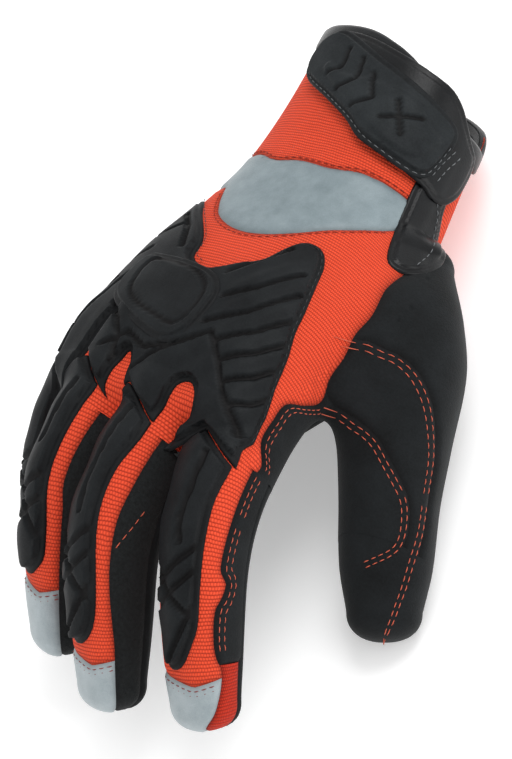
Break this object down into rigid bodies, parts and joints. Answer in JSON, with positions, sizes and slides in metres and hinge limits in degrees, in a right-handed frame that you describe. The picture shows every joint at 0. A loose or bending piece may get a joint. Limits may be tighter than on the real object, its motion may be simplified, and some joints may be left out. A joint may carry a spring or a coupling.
{
  "type": "work glove",
  "caption": "Hi-vis impact work glove for the right hand, with a moulded rubber guard over the back and fingers, reflective panels and a wrist strap.",
  "frame": {"origin": "on the surface that the glove rests on, under the middle of its bounding box", "axes": "-Y along the fingers, +X towards the thumb, +Z out of the back of the hand"},
  "size_m": [0.15, 0.2408, 0.0769],
  "materials": {
    "orange_knit": "ribbed stretch knit, matt",
    "reflective_fabric": "grey retroreflective cloth, soft sheen",
    "moulded_rubber": "semi-matt moulded rubber",
    "suede": "synthetic suede, matt",
    "air_mesh": "black spacer mesh, matt",
    "vinyl": "glossy vinyl",
    "hook_and_loop": "hook and loop tape"
  },
  "bodies": {
    "hand": {"cuff_back": "orange_knit", "reflective_panel": "reflective_fabric", "back_panel": "orange_knit", "cuff_palm": "orange_knit", "palm_panel": "suede", "cuff_binding": "suede", "hand_guard": "moulded_rubber", "guard_badge": "moulded_rubber", "thumb_saddle": "suede", "palm_heel_pad": "suede", "loop_pad": "hook_and_loop", "strap_anchor": "vinyl"},
    "index_root": {"index_root_back": "orange_knit", "index_root_palm": "suede", "index_inner_fourchette_root": "air_mesh", "index_root_guard": "moulded_rubber"},
    "index_tip": {"index_tip_back": "orange_knit", "index_tip_palm": "suede", "index_cap": "reflective_fabric", "index_inner_fourchette_tip": "air_mesh", "index_tip_guard": "moulded_rubber"},
    "middle_root": {"middle_root_back": "orange_knit", "middle_root_palm": "suede", "middle_inner_fourchette_root": "air_mesh", "middle_outer_fourchette_root": "air_mesh", "middle_root_guard": "moulded_rubber"},
    "middle_tip": {"middle_tip_back": "orange_knit", "middle_tip_palm": "suede", "middle_cap": "reflective_fabric", "middle_inner_fourchette_tip": "air_mesh", "middle_outer_fourchette_tip": "air_mesh", "middle_tip_guard": "moulded_rubber"},
    "ring_root": {"ring_root_back": "orange_knit", "ring_root_palm": "suede", "ring_inner_fourchette_root": "air_mesh", "ring_outer_fourchette_root": "air_mesh", "ring_root_guard": "moulded_rubber"},
    "ring_tip": {"ring_tip_back": "orange_knit", "ring_tip_palm": "suede", "ring_cap": "reflective_fabric", "ring_inner_fourchette_tip": "air_mesh", "ring_outer_fourchette_tip": "air_mesh", "ring_tip_guard": "moulded_rubber"},
    "pinky_root": {"pinky_root_back": "orange_knit", "pinky_root_palm": "suede", "pinky_outer_fourchette_root": "air_mesh", "pinky_root_guard": "moulded_rubber"},
    "pinky_tip": {"pinky_tip_back": "orange_knit", "pinky_tip_palm": "suede", "pinky_cap": "reflective_fabric", "pinky_outer_fourchette_tip": "air_mesh", "pinky_tip_guard": "moulded_rubber"},
    "thumb_root": {"thumb_root_back": "suede", "thumb_root_palm": "suede"},
    "thumb_tip": {"thumb_tip_back": "suede", "thumb_tip_palm": "suede"},
    "strap": {"strap_hook": "hook_and_loop", "strap_band": "suede", "strap_guard": "moulded_rubber"}
  },
  "joints": [
    {"name": "index_root_bend", "type": "hinge", "parent": "hand", "child": "index_root", "pos_m": [0.01838, -0.04374, 0.05703], "axis": [0.9706, 0.1815, 0.1582], "range_deg": [-7, 28]},
    {"name": "index_mid_bend", "type": "hinge", "parent": "index_root", "child": "index_tip", "pos_m": [0.0237, -0.06869, 0.05298], "axis": [0.9706, 0.1815, 0.1582], "range_deg": [-7.5, 28.5]},
    {"name": "middle_root_bend", "type": "hinge", "parent": "hand", "child": "middle_root", "pos_m": [-0.01053, -0.04482, 0.05801], "axis": [0.9833, 0.0953, 0.1548], "range_deg": [-7, 36]},
    {"name": "middle_mid_bend", "type": "hinge", "parent": "middle_root", "child": "middle_tip", "pos_m": [-0.00751, -0.07235, 0.05571], "axis": [0.9833, 0.0953, 0.1548], "range_deg": [-7.5, 36.5]},
    {"name": "ring_root_bend", "type": "hinge", "parent": "hand", "child": "ring_root", "pos_m": [-0.03717, -0.04148, 0.05407], "axis": [0.9887, 0.0031, 0.15], "range_deg": [-7, 36]},
    {"name": "ring_mid_bend", "type": "hinge", "parent": "ring_root", "child": "ring_tip", "pos_m": [-0.03622, -0.06656, 0.04835], "axis": [0.9887, 0.0031, 0.15], "range_deg": [-7.5, 36.5]},
    {"name": "pinky_root_bend", "type": "hinge", "parent": "hand", "child": "pinky_root", "pos_m": [-0.05861, -0.03752, 0.0363], "axis": [0.9864, -0.0787, 0.1446], "range_deg": [-7, 36]},
    {"name": "pinky_mid_bend", "type": "hinge", "parent": "pinky_root", "child": "pinky_tip", "pos_m": [-0.05869, -0.05433, 0.02768], "axis": [0.9864, -0.0787, 0.1446], "range_deg": [-7.5, 36.5]},
    {"name": "thumb_root_bend", "type": "hinge", "parent": "hand", "child": "thumb_root", "pos_m": [0.04871, -0.01516, 0.02222], "axis": [0.8757, 0.4067, -0.2602], "range_deg": [-7, 22]},
    {"name": "thumb_mid_bend", "type": "hinge", "parent": "thumb_root", "child": "thumb_tip", "pos_m": [0.05477, -0.03049, 0.01804], "axis": [0.8692, 0.4232, -0.2557], "range_deg": [-8.9, 26.9]},
    {"name": "strap_peel", "type": "hinge", "parent": "hand", "child": "strap", "pos_m": [0.02011, 0.07909, 0.02705], "axis": [-0.1389, 0.99, 0.0238], "range_deg": [0, 110]}
  ],
  "couplings": [
    {"joint": "index_mid_bend", "follows": "index_root_bend", "ratio": 1},
    {"joint": "middle_mid_bend", "follows": "middle_root_bend", "ratio": 1},
    {"joint": "ring_mid_bend", "follows": "ring_root_bend", "ratio": 1},
    {"joint": "pinky_mid_bend", "follows": "pinky_root_bend", "ratio": 1},
    {"joint": "thumb_mid_bend", "follows": "thumb_root_bend", "ratio": 1.2}
  ]
}
